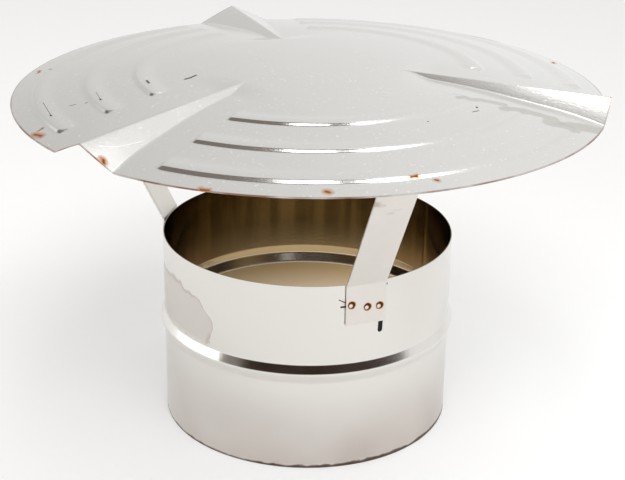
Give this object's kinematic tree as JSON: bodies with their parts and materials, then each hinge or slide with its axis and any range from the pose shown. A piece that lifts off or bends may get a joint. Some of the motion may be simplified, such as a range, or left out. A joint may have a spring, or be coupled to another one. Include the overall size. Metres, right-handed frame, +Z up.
{
  "type": "chimney cowl",
  "caption": "Static chimney cowl: a beaded flue collar carries bent straps and a shallow pleated, ribbed rain cap that lets smoke out sideways and keeps rain off the flue.",
  "frame": {"origin": "centre of the collar's bottom edge, on the flue axis", "axes": "+Z up along the flue axis towards the cap, -Y the front with the front strap, +X to the right"},
  "size_m": [0.2967, 0.2974, 0.1906],
  "materials": {
    "collar_sheet": "bright rolled stainless sheet",
    "strap_sheet": "satin stainless strip",
    "cap_sheet": "bright rolled stainless sheet"
  },
  "bodies": {
    "root": {"collar": "collar_sheet", "strap_front": "strap_sheet", "strap_left": "strap_sheet", "strap_right": "strap_sheet", "cap": "cap_sheet"}
  },
  "joints": []
}
